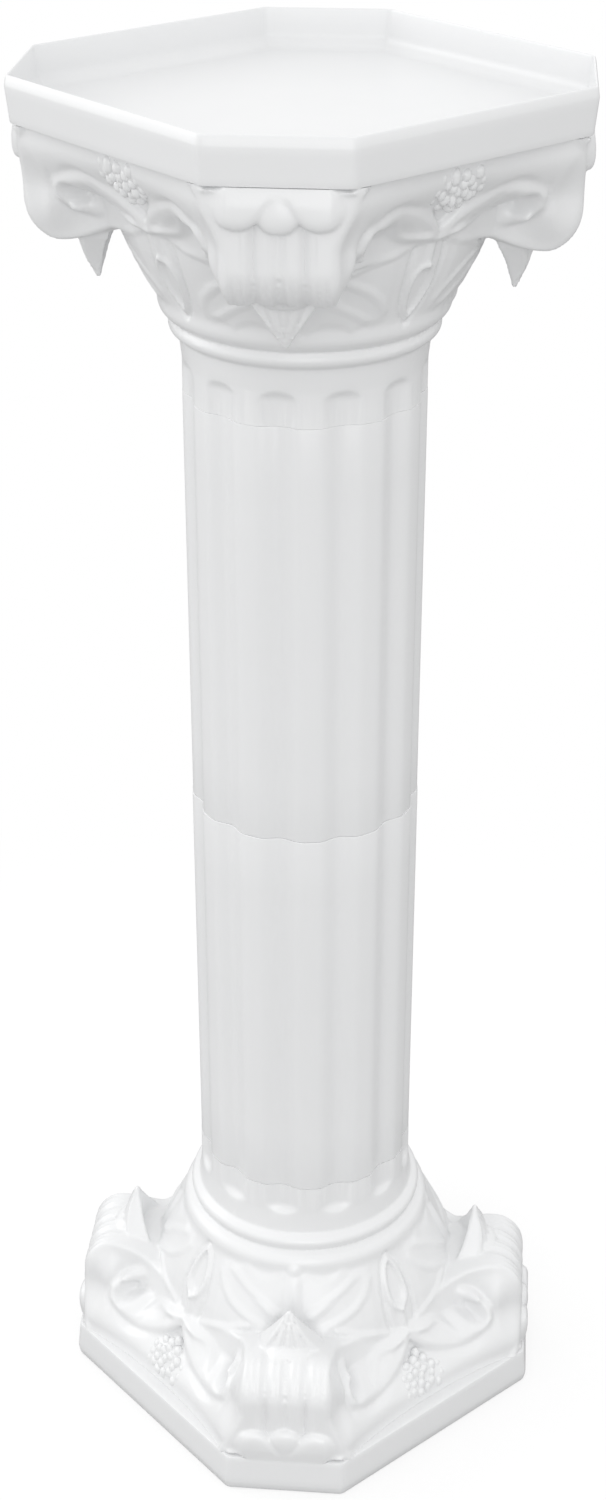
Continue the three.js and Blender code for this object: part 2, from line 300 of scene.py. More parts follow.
def dishMesh(name, d, flipped):
    floorHalf = d["halfWidth"] - d["taper"]

    def wall(z):
        return floorHalf + d["taper"] * z / d["height"]

    top, rim = d["height"], d["rim"]
    # outline from the flat underside round the rim to the flat floor, half width and height: small steps round
    # over each of its edges
    outline = [(d["flat"], 0), (floorHalf - 4, 0), (floorHalf - 0.9, 0), (floorHalf - 0.2, 0.25), (wall(0.9), 0.9)]
    outline += [(wall(z), z) for z in (4, 9, 15, top - 6.2)]
    outline += [(wall(top - 5) - 0.25, top - 4.9), (wall(top) - 1.1, top - 2.6), (wall(top) - 1.5, top - 1.1),
                (wall(top) - 1.75, top - 0.35), (wall(top) - 2.1, top)]
    outline += [(wall(top) - rim + 0.45, top), (wall(top) - rim + 0.1, top - 0.35), (wall(top) - rim, top - 1.2)]
    outline += [(wall(z) - rim, z) for z in (top - 4, top - 9)]
    cove, coveTop = d["cove"], d["floor"] + d["cove"]
    inside = wall(coveTop) - rim
    coveSteps = 7
    for step in range(coveSteps):
        angle = step / coveSteps * math.pi / 2
        outline.append((inside - cove * (1 - math.cos(angle)), coveTop - cove * math.sin(angle)))
    outline += [(inside - cove, d["floor"]), (inside - cove - 3, d["floor"]), (d["flat"], d["floor"])]

    points, faces, loops = [], [], []
    for half, z in outline:
        # each loop's chamfers keep the wall the same thickness all round
        chamfer = d["chamfer"] - (d["halfWidth"] - half) * (2 - math.sqrt(2))
        ring = cutSquare(half, chamfer, d["cornerRounding"])
        loops.append(range(len(points), len(points) + len(ring)))
        points += [(x, y, z) for x, y in ring]
    for low, high in zip(loops[:-1], loops[1:]):
        n = len(low)
        faces += [(low[i], low[(i + 1) % n], high[(i + 1) % n], high[i]) for i in range(n)]
    faces.append(tuple(reversed(loops[0])))
    faces.append(tuple(loops[-1]))

    # locating ring under the floor
    outerR, innerR = d["spigotRadius"], d["spigotRadius"] - d["spigotWall"]
    section = [(outerR, 0.6), (outerR, -d["spigotDepth"] + 0.8), (outerR - 0.8, -d["spigotDepth"]),
               (innerR + 0.6, -d["spigotDepth"]), (innerR, -d["spigotDepth"] + 0.6), (innerR, 0.6)]
    around = d["spigotSteps"]
    first = len(points)
    for i in range(around):
        angle = 2 * math.pi * i / around
        points += [(r * math.cos(angle), r * math.sin(angle), z) for r, z in section]
    k = len(section)
    for i in range(around):
        a, b = first + i * k, first + (i + 1) % around * k
        faces += [(a + j, b + j, b + (j + 1) % k, a + (j + 1) % k) for j in range(k)]

    turned = []
    for x, y, z in points:
        if flipped:
            y, z = -y, -z
        turned.append((x * mm, y * mm, (z + pieceHeights[name]) * mm))
    piece = meshObject(name, turned, faces, 40)
    fixNormals(piece.data)
    return piece


def fixNormals(mesh):
    work = bmesh.new()
    work.from_mesh(mesh)
    bmesh.ops.recalc_face_normals(work, faces=work.faces)
    work.to_mesh(mesh)
    work.free()


tray = dishMesh("trayDish", dishSizes, flipped=False)
plinth = dishMesh("plinthDish", dishSizes, flipped=True)
for piece in (tray, plinth):
    piece.data.materials.append(whiteMaterial)
print("tray and plinth made")


shaftSizes = {
    "Radius": 69.6 * mm,
    "Wall": 2.4 * mm,
    "Draft": 0.4 * mm,             # wider at the top end than at the bottom
    "Length": 260.25 * mm,
    "End Rounding": 0.45 * mm,
    "Flutes": 12,
    "Flute Depth": 4.0 * mm,
    "Flute Share": 0.74,           # of each pitch
    "First Flute": fluteTurn,
    "Steps Round": 288,
    "Steps Along": 6,              # between two points of the wall's section
}


class Tree:
    # a Geometry Nodes tree under construction
    def __init__(self, name, inputs):
        self.group = bpy.data.node_groups.new(name, "GeometryNodeTree")
        kinds = {"f": "NodeSocketFloat", "i": "NodeSocketInt", "m": "NodeSocketMaterial"}
        for label, kind in inputs:
            self.group.interface.new_socket(name=label, in_out="INPUT", socket_type=kinds[kind])
        self.group.interface.new_socket(name="Geometry", in_out="OUTPUT", socket_type="NodeSocketGeometry")
        self.start = self.group.nodes.new("NodeGroupInput")
        self.end = self.group.nodes.new("NodeGroupOutput")

    def value(self, label):
        return self.start.outputs[label]

    def add(self, kind, settings=None, **inputs):
        node = self.group.nodes.new(kind)
        for key, setting in (settings or {}).items():
            setattr(node, key, setting)
        for key, value in inputs.items():
            socket = node.inputs[int(key[1:])] if key[1:].isdigit() else node.inputs[key.replace("_", " ")]
            self.feed(socket, value)
        return node

    def feed(self, socket, value):
        if isinstance(value, bpy.types.NodeSocket):
            self.group.links.new(value, socket)
        else:
            socket.default_value = value

    def math(self, operation, *values):
        inputs = {"i" + str(place): value for place, value in enumerate(values)}
        return self.add("ShaderNodeMath", {"operation": operation}, **inputs).outputs[0]

    def plus(self, a, b):
        return self.math("ADD", a, b)

    def minus(self, a, b):
        return self.math("SUBTRACT", a, b)

    def times(self, a, b):
        return self.math("MULTIPLY", a, b)

    def position(self):
        return self.add("GeometryNodeInputPosition").outputs[0]

    def vector(self, x, y, z):
        return self.add("ShaderNodeCombineXYZ", X=x, Y=y, Z=z).outputs[0]

    def finish(self, geometry):
        realized = self.add("GeometryNodeRealizeInstances", Geometry=geometry)
        painted = self.add("GeometryNodeSetMaterial", Geometry=realized.outputs[0], Material=self.value("Material"))
        self.group.links.new(painted.outputs[0], self.end.inputs["Geometry"])
        return self.group


def flutedTubeTree():
    tree = Tree("flutedTube", [
        ("Radius", "f"), ("Wall", "f"), ("Draft", "f"), ("Length", "f"), ("Lift", "f"), ("End Rounding", "f"),
        ("Flutes", "i"), ("Flute Depth", "f"), ("Flute Share", "f"), ("First Flute", "f"), ("Steps Round", "i"),
        ("Steps Along", "i"), ("Material", "m"),
    ])
    v = tree.value
    # the wall's own section, with its ends rounded over
    section = tree.add("GeometryNodeCurvePrimitiveQuadrilateral", Width=v("Wall"), Height=v("Length"))
    rounded = tree.add("GeometryNodeFilletCurve", {"mode": "POLY"}, Curve=section.outputs[0],
                       Radius=v("End Rounding"), Count=3)
    split = tree.add("GeometryNodeSubdivideCurve", Curve=rounded.outputs[0], Cuts=v("Steps Along"))
    size = tree.add("GeometryNodeAttributeDomainSize", {"component": "CURVE"}, Geometry=split.outputs[0])
    # a sheet whose X is the way round and whose rows are the section's points, the first one met twice
    rows = size.outputs["Point Count"]
    sheet = tree.add("GeometryNodeMeshGrid", Size_X=1.0, Size_Y=1.0, Vertices_X=tree.plus(v("Steps Round"), 1),
                     Vertices_Y=tree.plus(rows, 1))
    place = tree.add("ShaderNodeSeparateXYZ", Vector=tree.position())
    turn = tree.times(tree.plus(place.outputs["X"], 0.5), 2 * math.pi)
    row = tree.math("ROUND", tree.times(tree.plus(place.outputs["Y"], 0.5), rows))
    sample = tree.add("GeometryNodeSampleIndex", {"data_type": "FLOAT_VECTOR", "domain": "POINT"},
                      Geometry=split.outputs[0], Index=tree.math("MODULO", row, rows), Value=tree.position())
    spot = tree.add("ShaderNodeSeparateXYZ", Vector=sample.outputs["Value"])
    # how far round its own pitch each point is, from -0.5 to 0.5 with the trough at 0
    pitch = tree.math("DIVIDE", 2 * math.pi, v("Flutes"))
    pitches = tree.plus(tree.math("DIVIDE", tree.minus(turn, v("First Flute")), pitch), 0.5)
    within = tree.minus(tree.math("FRACT", pitches), 0.5)
    offset = tree.math("DIVIDE", tree.times(tree.math("ABSOLUTE", within), 2), v("Flute Share"))
    capped = tree.math("MINIMUM", offset, 1.0)
    trough = tree.plus(tree.times(tree.math("COSINE", tree.times(capped, math.pi)), 0.5), 0.5)
    dip = tree.times(trough, v("Flute Depth"))
    middle = tree.minus(v("Radius"), tree.times(v("Wall"), 0.5))
    wider = tree.times(tree.math("DIVIDE", spot.outputs["Y"], v("Length")), v("Draft"))
    radius = tree.plus(tree.minus(tree.plus(middle, spot.outputs["X"]), dip), wider)
    height = tree.plus(tree.plus(spot.outputs["Y"], v("Lift")), tree.times(v("Length"), 0.5))
    position = tree.vector(
        tree.times(radius, tree.math("COSINE", turn)),
        tree.times(radius, tree.math("SINE", turn)),
        height,
    )
    bent = tree.add("GeometryNodeSetPosition", Geometry=sheet.outputs["Mesh"], Position=position)
    closed = tree.add("GeometryNodeMergeByDistance", Geometry=bent.outputs[0], Distance=0.02 * mm)
    return tree.finish(closed.outputs[0])


def nodesPiece(name, group, values):
    # runs a tree and keeps its result as a plain mesh
    mesh = bpy.data.meshes.new(name)
    piece = bpy.data.objects.new(name, mesh)
    bpy.context.collection.objects.link(piece)
    modifier = piece.modifiers.new(name, "NODES")
    modifier.node_group = group
    setInputs(modifier, values)
    bakeModifiers(piece)
    return piece


shaftTree = flutedTubeTree()
shaftPieces = {}
for name in ("lowerShaftTube", "upperShaftTube"):
    values = dict(shaftSizes, Lift=pieceHeights[name] * mm, Material=whiteMaterial)
    shaftPieces[name] = nodesPiece(name, shaftTree, values)
    fixNormals(shaftPieces[name].data)
    shade(shaftPieces[name].data, 45)
    print(name, "has", len(shaftPieces[name].data.polygons), "faces")


headSizes = {
    "cell": 1.2,
    "height": 153.9,
    "foot": -0.1,
    "overrun": 3.0,            # carved past each end before it is cut level
    "halfWidth": 142.0,        # of the block of space it is carved from
    "topRecess": 124.1,        # radius that takes the tray's locating ring
    "topRecessDepth": 9.5,
    "triangles": 170000,
    "evenRounds": 3, "evenAmount": 0.5,       # how much the cells' own steps are evened out
    "smoothAngle": 58,
}
# how softly each form runs into what is there already
softness = {
    "bellTop": 3, "slabEdge": 4, "slab": 5, "cheek": 4, "rollFoot": 3, "rollSide": 2, "block": 1.6, "bud": 3,
    "lobeEdge": 1.5, "lobe": 0.6, "dropEdge": 1.2, "drop": 0.5, "lobeDip": 1.0, "leafEdge": 1.6, "leaf": 1.5,
    "leafRoot": 0.8, "flute": 1.2,
}
# distance from the axis and height above the neck joint
bellProfile = [
    (69.6, 0), (69.6, 20), (70.4, 27), (71.2, 33), (71.4, 34.8), (73.6, 35.6), (75.9, 37.4), (77, 40.3),
    (76, 43.4), (74.9, 45), (75.6, 45.8), (79, 47.6), (81.4, 50.4), (82.5, 53.6), (82.6, 57), (82.9, 59.4),
    (84, 62.4), (85.8, 66), (90.3, 75), (94.6, 84), (98.4, 93), (101.5, 103), (103.2, 109), (107, 120),
    (116, 140), (118, 160),
]
# radius of the inside, by height
hollowProfile = [(0, 63.2), (34, 63.2), (36, 66), (60, 77), (66, 81), (84, 90), (103, 97), (120, 102), (138, 110)]
# each flute is cut by a round bar that leans out of the wall over the last stretch
neckFlutes = {"count": 12, "cutRadius": 23.1, "cutCentre": 89.1, "end": 20.4, "endRun": 6.2, "lean": 12.4}
# the slab on top: its sides are parabolas from the middle of a face out to the cut corners
topSlab = {"side": 125.5, "flare": 9.4, "sideLength": 81.4, "corner": 153.0, "underside": 150.3, "bellTop": 142}
bud = {"middle": (110, 0, 139), "size": (12, 19, 12)}         # under the middle of each side of the slab
cornerRoll = {
    "reach": 150.8, "turnStart": 126.0, "underside": 87.0, "rise": 25.0,
    "reeds": 4, "reedWidth": 12.9, "reedDepth": 5.0, "roundness": 0.3, "valley": 0.07, "reedsFrom": (112, 130),
    "fineRibs": 0.5, "fineFrom": (100, 112),  # heights between which the fine ribs fade out upwards
    "widens": (154, 120),                     # behind its front the width below holds it in less and less
    # half its width across the corner, by height
    "halfWidth": [(88, 23.8), (107, 24.8), (116, 27.4), (128, 31.6), (138, 37), (152, 47)],
}
# the volute plate: places are given by how far along the face from its middle, then height or distance from the axis
rimHeight = [(0, 107), (8, 106.2), (18, 103.7), (27, 101.6), (38, 99.3), (49, 98), (55, 95.4), (62, 92), (70, 89.3),
             (80, 87.6), (92, 87)]
rimDepth = [(0, 104), (7, 103.6), (18, 102), (27, 99.6), (38, 97.8), (49, 97.4), (55, 99.7), (62, 104), (70, 110),
            (77, 115.6), (84, 121), (92, 126)]
spoonDepth = [(0, 106), (10, 104.6), (20, 103.6), (30, 102.6), (40, 101.6), (50, 101), (57, 101.8), (61, 106),
              (65, 116), (69, 120.6), (75, 122.8), (83, 125), (92, 127.2)]
recessDepth = [(0, 103), (10, 108), (20, 110.5), (30, 112.5), (40, 114.5), (50, 116.5), (58, 118.5), (64, 120.5),
               (68, 121.6), (75, 123.4), (83, 125.8), (92, 128.2)]
bandPath = [(0, 110.5), (3, 114.5), (7, 118.8), (11, 122.3), (17, 126.4), (23, 129.6), (31, 132.6), (37, 134),
            (43, 134.3), (50, 132.7), (56, 129.3), (60.2, 124.8), (61.8, 119.5), (61, 114), (58.5, 110.5)]
bandCrest = [(0, 107), (0.06, 110), (0.18, 113.8), (0.36, 117.8), (0.55, 120.2), (0.7, 122.4), (0.84, 123.2),
             (0.93, 119.5), (1, 112.5)]
bandRise = [(0, 110.5), (3, 114.5), (7, 118.8), (11, 122.3), (17, 126.4), (23, 129.6), (31, 132.6), (37, 134),
            (43, 134.3), (50, 132.7), (56, 129.3), (60.2, 124.8), (62.5, 115), (66, 97), (72, 88), (92, 86)]
almondLine = [(0, 107.6), (7, 110.4), (14, 111.4), (20, 111.8), (25, 113), (29, 115.6), (33, 119.4), (37, 124.5),
              (39, 128)]
eyeBall = {"along": 54.6, "height": 109.6, "radius": 5.2, "rise": 4.2}
eyeStem = [(54.4, 110.5), (52.6, 114.5), (52.8, 118.5), (54.6, 122)]
cheekShape = {
    "spoonTop": 118, "coveTop": 146,          # heights where the spoon ends and where the cove meets the slab
    "coveSide": 126, "coveFlare": 8.4,        # edge of the slab that the cove runs out to
    "setBack": 3, "setBackOuter": 27,         # height over which the face falls back above the band
    "curl": (0.68, 0.84),                     # share of the band along which its slope narrows
    "steep": (2.0, 4.8),                      # its outer side, then its inner slope: wide first, narrow when curled
    "slopeStart": (3.6, -1.8), "slopeEnd": (20.5, -15.7),
    "almondRim": (1.7, 2.6), "almondHollow": 2.0, "stemEnd": (31, 42), "bandHalf": 4.4,
    "innerGroove": (1.2, 4.6, 1.8), "outerGroove": (1.6, 5.4, 2.0), "eyeStem": (3.4, 4.0),
    "sweep": {"middle": (76, 124), "size": (8, 24), "depth": 1.5},
}
# lower edge of the two lobes under each cut corner, by distance from the corner's middle
lobeEdge = [(5, 143), (8, 138.4), (10.5, 135.6), (13.5, 133.6), (17, 132.2), (20.5, 131.8), (26, 132.8), (31, 135.4),
            (36, 140.5), (41, 147), (45, 155)]
lobeFront = {"top": 154.7, "outerTop": 149.5, "setBack": 3.0, "bulge": 4.0, "roundOver": 8.0, "back": 132}
lobeDip = {"middle": (34, 155, 154.6), "size": (8, 7, 2.4)}
middleDrop = {
    "edge": [(130.2, 0), (130.8, 4.2), (132.6, 7.6), (135.8, 10.4), (139.5, 11), (143, 9.4), (147, 6), (150.5, 2.6),
             (153, 0)],
    "middle": 139.5, "above": 13.5, "below": 9.3, "front": 150.6, "bulge": 5.2,
}
leafTip = {
    # height, middle line from the axis, half thickness, half width
    "sections": [(61, 116.2, 1.4, 1.4), (65.5, 116.7, 2.6, 3.8), (71, 117.4, 4.4, 7.2), (77, 118.4, 5.6, 11.2),
                 (83, 119.2, 6.6, 15.4), (88, 119.6, 7.2, 19), (97, 119.2, 7.6, 22), (104, 118, 7.6, 22)],
    "ribs": 1.8, "ribSpread": 0.44, "bend": 0.018, "foot": 61, "top": 103,
}
leafRoot = {"middle": (122.5, 0, 89), "size": (9, 14, 4.8)}
# the bell's leafwork: degrees from the middle of a face and height, in pairs, with height and width of the ridge
bellVeins = [
    ([(30, 75), (25, 71), (18.5, 64.5), (14.5, 61.5)], 1.1, 3.2),
    ([(31, 91), (25, 87.3), (19.4, 82.6), (15, 76.2), (11.6, 68.6)], 1.3, 3.4),
    ([(28, 94), (24.8, 96), (21, 99), (17, 101.2), (13, 102.6), (8.5, 105.6)], 1.5, 3.4),
    ([(45, 58), (45, 100)], 2.0, 6.0),
    ([(38, 84), (33, 79), (29, 74.5)], 1.6, 4.0),
    ([(38, 98), (34, 94), (30, 91)], 1.6, 4.0),
]
dropLoop = [(0, 60.5), (2.4, 64.5), (4.0, 71), (4.6, 79), (4.2, 86), (2.6, 91), (0, 93)]
dropGroove = [(5.6, 107), (6.8, 97), (6.6, 84), (5.6, 74), (3.4, 64), (0, 58)]
# height and width of the drop's rim, groove and stalk, and of the leaf's body with its scalloped lower edge
bellForms = {"rim": (1.9, 2.7), "hollow": 1.4, "groove": (1.7, 2.6), "stalk": (2.2, 3.4), "body": 1.1,
             "bodyFoot": 57, "scallop": 5.0, "scallopTurn": 15, "scallopRate": 11}


def smoothMax(a, b, soft):
    gap = np.clip(soft - np.abs(a - b), 0, None)
    return np.maximum(a, b) + gap * gap * (0.25 / soft)


def smoothMin(a, b, soft):
    return -smoothMax(-a, -b, soft)


def ease(value, low, high):
    t = np.clip((value - low) / (high - low), 0, 1)
    return t * t * (3 - 2 * t)


def curveThrough(points, at, softness=0.0):
    # a line through points, its kinks rounded by averaging over softness
    keys, values = zip(*points)
    if softness <= 0:
        return np.interp(at, keys, values)
    offsets = np.linspace(-softness, softness, 9)
    return sum(np.interp(at + o, keys, values) for o in offsets) / len(offsets)


def strokeDistance(path, across, up):
    # distance to a drawn line, and how far along it the nearest spot is, from 0 to 1
    best = np.full(across.shape, 1e9)
    share = np.zeros(across.shape)
    lengths = [math.dist(p, q) for p, q in zip(path[:-1], path[1:])]
    total, run = sum(lengths), 0.0
    for (x0, y0), (x1, y1), length in zip(path[:-1], path[1:], lengths):
        dx, dy = x1 - x0, y1 - y0
        t = np.clip(((across - x0) * dx + (up - y0) * dy) / (length * length), 0, 1)
        gap = np.hypot(across - x0 - t * dx, up - y0 - t * dy)
        nearer = gap < best
        best = np.where(nearer, gap, best)
        share = np.where(nearer, (run + t * length) / total, share)
        run += length
    return best, share


def ridge(gap, width):
    return np.clip(1 - (gap / width) ** 2, 0, 1) ** 1.5


def smoothLine(path, rounds=2):
    # corner cutting, which turns a few drawn points into a flowing line
    for _ in range(rounds):
        cut = [path[0]]
        for (x0, y0), (x1, y1) in zip(path[:-1], path[1:]):
            cut.append((0.75 * x0 + 0.25 * x1, 0.75 * y0 + 0.25 * y1))
            cut.append((0.25 * x0 + 0.75 * x1, 0.25 * y0 + 0.75 * y1))
        cut.append(path[-1])
        path = cut
    return path


def ellipsoid(places, form):
    # 0 at its middle and 1 on its surface
    parts = zip(places, form["middle"], form["size"])
    return np.sqrt(sum(((place - middle) / size) ** 2 for place, middle, size in parts))


def cheekSurface(along, up):
    # distance from the axis of the volute plate: a spoon-like hollow with a band curling round it
    c = cheekShape
    low = curveThrough(rimDepth, along, 1.5)
    foot = curveThrough(rimHeight, along, 1.5)
    floor = low + (curveThrough(spoonDepth, along, 1.5) - low) * ease(up, foot, c["spoonTop"])
    # set back above the band, where the berries sit, and coved out to the edge of the slab
    recess = curveThrough(recessDepth, along, 2.0)
    slabEdge = c["coveSide"] + c["coveFlare"] * (along / topSlab["sideLength"]) ** 2
    recess = recess + np.clip(slabEdge - recess, 0, None) * ease(up, c["spoonTop"], c["coveTop"])
    rise = curveThrough(bandRise, along, 1.0)
    ground = floor + (recess - floor) * ease(up - rise, 0, c["setBack"] + c["setBackOuter"] * ease(along, 58, 68))
    # the band: steep outside, a long easy slope inside
    gap, share = strokeDistance(smoothLine(bandPath), along, up)
    crest = np.interp(share, *zip(*bandCrest))
    lift = np.clip(crest - ground, 0, None)
    inner = ease(rise - up, -0.5, 0.5) * (1 - ease(along, 60, 63.5))
    curled = ease(share, *c["curl"])
    slopeStart, slopeEnd = [wide + change * curled for wide, change in (c["slopeStart"], c["slopeEnd"])]
    shape = (1 - ease(gap, *c["steep"])) * (1 - inner) + (1 - ease(gap, slopeStart, slopeEnd)) * inner
    face = ground + lift * shape
    # almond-shaped hollow on the inner side of the stem, with its own thin raised edge
    edge = curveThrough(almondLine, along, 1.0)
    nearStem = 1 - ease(along, *c["stemEnd"])
    face = face - (face - floor) * (1 - ease(up - edge, -2.8, 0)) * nearStem * inner
    edgeGap, _ = strokeDistance(smoothLine(almondLine), along, up)
    height, width = c["almondRim"]
    face = face + height * ridge(edgeGap, width) * nearStem
    bandFoot = rise - c["bandHalf"]
    middle, half = (edge + bandFoot) / 2, np.clip((bandFoot - edge) / 2, 0.5, None)
    hollow = np.clip(1 - ((up - middle) / half) ** 2, 0, 1)
    face = face - c["almondHollow"] * hollow * ease(along, 3, 12) * nearStem
    depth, away, width = c["innerGroove"]
    face = face - depth * ridge(gap - away, width) * inner * (1 - ease(share, 0.45, 0.6))
    # the eye, and the groove round the outside of the curl
    ball = ((along - eyeBall["along"]) ** 2 + (up - eyeBall["height"]) ** 2) / eyeBall["radius"] ** 2
    bump = eyeBall["rise"] * np.sqrt(np.clip(1 - ball, 0, 1))
    stemGap, stemShare = strokeDistance(smoothLine(eyeStem), along, up)
    height, width = c["eyeStem"]
    face = face + np.maximum(bump, height * ridge(stemGap, width) * (1 - 0.5 * stemShare))
    depth, away, width = c["outerGroove"]
    face = face - depth * ridge(gap - away, width) * ease(along, 60, 63) * ease(up, 110, 114)
    # hollow swept between the curl and the edge of the roll
    return face - c["sweep"]["depth"] * np.clip(1 - ellipsoid((along, up), c["sweep"]) ** 2, 0, 1)


def onBell(path):
    # a line given by degrees and height, laid out as distance round the bell and height
    return [(math.radians(degrees) * float(np.interp(height, bellHeights, bellRadii)), height)
            for degrees, height in path]


def bellRelief(face, up, radius):
    # leafwork on the bell, where face is radians from the middle of a face
    b = bellForms
    arc = face * radius
    relief = np.zeros(arc.shape)
    for path, rise, width in bellVeins:
        gap, share = strokeDistance(smoothLine(onBell(path)), arc, up)
        relief = np.maximum(relief, rise * ridge(gap, width) * (1 - 0.5 * ease(share, 0.6, 1)))
    drop = onBell(dropLoop)
    gap, _ = strokeDistance(smoothLine(drop), arc, up)
    inside = arc < np.interp(up, [p[1] for p in drop], [p[0] for p in drop], left=0, right=0)
    relief = relief + b["rim"][0] * ridge(gap, b["rim"][1]) - b["hollow"] * inside * ease(gap, 0.8, 4)
    gap, _ = strokeDistance(smoothLine(onBell(dropGroove)), arc, up)
    relief = relief - b["groove"][0] * ridge(gap, b["groove"][1])
    stalk = ridge(arc, b["stalk"][1]) * ease(up, 90, 94) * ease(-up, -112, -107)
    relief = relief + b["stalk"][0] * stalk
    # the leaf's body between its veins, raised over the bare bell
    degrees = np.degrees(face)
    edge = b["bodyFoot"] + b["scallop"] * np.abs(np.cos(np.radians((degrees - b["scallopTurn"]) * b["scallopRate"])))
    body = ease(up, edge - 1.5, edge + 3.5) * ease(degrees, 9.0, 13.0)
    return relief + b["body"] * body


bellRadii, bellHeights = zip(*bellProfile)


def headField(cell):
    # distances over one quarter of the moulding; the other three are its mirror images
    s = softness
    ends = headSizes["overrun"]
    side = np.arange(0, headSizes["halfWidth"] + cell, cell)
    up = np.arange(-ends - 2 * cell, headSizes["height"] + ends + 3 * cell, cell)
    n = len(side)
    x, y = side[:, None], side[None, :]
    far, near = np.maximum(x, y), np.minimum(x, y)
    lower = np.minimum(np.arange(n)[:, None], np.arange(n)[None, :])
    apart = np.abs(np.arange(n)[:, None] - np.arange(n)[None, :])
    out = ((x + y) / math.sqrt(2))[:, :, None]          # along the diagonal
    turn = np.arange(n) * cell / math.sqrt(2)           # across it
    radius = np.hypot(x, y)[:, :, None]
    z = up[None, None, :]

    # bell and neck
    plain = curveThrough(list(zip(bellHeights, bellRadii)), up, 0.5)
    slope = np.gradient(plain, up)
    lean = 1 / np.sqrt(1 + np.clip(slope, -1.2, 1.2) ** 2)
    steps = 240
    faceSteps = np.radians(np.linspace(0, 45, steps + 1))
    table = plain[None, :] + bellRelief(faceSteps[:, None] + 0 * up[None, :], up[None, :] + 0 * faceSteps[:, None],
                                        plain[None, :])
    place = np.clip(np.arctan2(near, far) / math.radians(45) * steps, 0, steps - 0.001)
    base = place.astype(int)
    part = (place - base)[:, :, None]
    bellRadius = table[base] * (1 - part) + table[base + 1] * part
    field = (radius - bellRadius) * lean[None, None, :]
    field = smoothMax(field, z - topSlab["bellTop"], s["bellTop"])

    # top slab, its four sides curving in
    slabSide = topSlab["side"] + topSlab["flare"] * (side / topSlab["sideLength"]) ** 2
    slab = np.maximum(far - slabSide[lower], out[:, :, 0] - topSlab["corner"])[:, :, None]
    slab = smoothMax(slab, topSlab["underside"] - z, s["slabEdge"])
    field = smoothMin(field, slab, s["slab"])

    # corner blocks: cheeks with volutes, reeded roll in front
    cheek = cheekSurface(side[:, None] + 0 * up[None, :], up[None, :] + 0 * side[:, None])
    for _ in range(3 if cell < 1.5 else 1):
        padded = np.pad(cheek, 1, mode="edge")
        cheek = (padded[:-2, 1:-1] + padded[2:, 1:-1] + padded[1:-1, :-2] + padded[1:-1, 2:] + 2 * cheek) / 6
    cheekField = (far[:, :, None] - cheek[lower]) * 0.93          # about square to its leaning face
    r = cornerRoll
    reeds = r["reedWidth"]
    phase = (turn / reeds) % 1.0
    crest = np.clip(1 - (2 * phase - 1) ** 2, r["valley"], 1) ** r["roundness"] - 1
    crest = np.where(turn > (r["reeds"] - 1) / 2 * reeds, 0, crest) * r["reedDepth"]
    startE, under, reach, rise = r["turnStart"], r["underside"], r["reach"], r["rise"]
    ratio = np.hypot(np.clip(out - startE, 0, None) / (reach - startE), np.clip(under + rise - z, 0, None) / rise)
    roll = np.where((out > startE) & (z < under + rise), (ratio - 1) * rise, np.maximum(out - reach, under - z))
    reeded = ease(out, *r["reedsFrom"])
    roll = roll - crest[apart][:, :, None] * reeded
    fine = r["fineRibs"] * (np.cos(6 * math.pi * turn / reeds) - 1) * (turn < r["reeds"] / 2 * reeds)
    roll = roll - fine[apart][:, :, None] * (1 - ease(z, *r["fineFrom"])) * reeded
    block = smoothMax(cheekField, roll, s["cheek"])
    foot = curveThrough(rimHeight, side, 2.0)
    block = smoothMax(block, foot[lower][:, :, None] - z, s["rollFoot"])
    halfWidth = curveThrough(r["halfWidth"], up, 2.0)
    loosened = ease(out, *r["widens"]) * 60
    block = smoothMax(block, (turn[:, None] - halfWidth[None, :])[apart] - loosened, s["rollSide"])
    field = smoothMin(field, block, s["block"])
    field = smoothMin(field, (ellipsoid((far[:, :, None], near[:, :, None], z), bud) - 1) * 11, s["bud"])

    # two lobes under each cut corner, flush with the tray at their top
    f = lobeFront
    above = up[None, :] - curveThrough(lobeEdge, turn, 1.0)[:, None]
    topFront = f["top"] - (f["top"] - f["outerTop"]) * ease(turn, 25, 36)[:, None]
    edgeRound = np.sqrt(np.clip(1 - np.clip(1 - above / f["roundOver"], 0, 1) ** 2, 0, 1))
    front = topFront - f["setBack"] + f["bulge"] * edgeRound * (1 - 0.3 * ease(up, 143, 155))[None, :]
    lobe = smoothMax(out - front[apart], (-0.8 * above)[apart], s["lobeEdge"])
    field = smoothMin(field, np.maximum(lobe, f["back"] - out), s["lobe"])

    # the drop between the lobes
    d = middleDrop
    dropHalf = np.interp(up, *zip(*d["edge"]), left=0, right=0)
    across = np.clip(turn[:, None] / np.clip(dropHalf, 0.1, None)[None, :], 0, 1)
    fromMiddle = np.clip(np.abs(up - d["middle"]) / np.where(up > d["middle"], d["above"], d["below"]), 0, 1)
    swell = np.sqrt(np.clip(1 - across ** 2, 0, 1)) * np.sqrt(1 - fromMiddle ** 2)[None, :]
    drop = smoothMax(out - (d["front"] + d["bulge"] * swell ** 0.7)[apart],
                     (0.8 * (turn[:, None] - dropHalf[None, :]))[apart], s["dropEdge"])
    field = smoothMin(field, np.maximum(drop, f["back"] - out), s["drop"])

    # the lobes' outer top edges dip a little away from the tray
    turned = turn[apart][:, :, None]
    field = smoothMax(field, (1 - ellipsoid((turned, out, z), lobeDip)) * lobeDip["size"][2], s["lobeDip"])

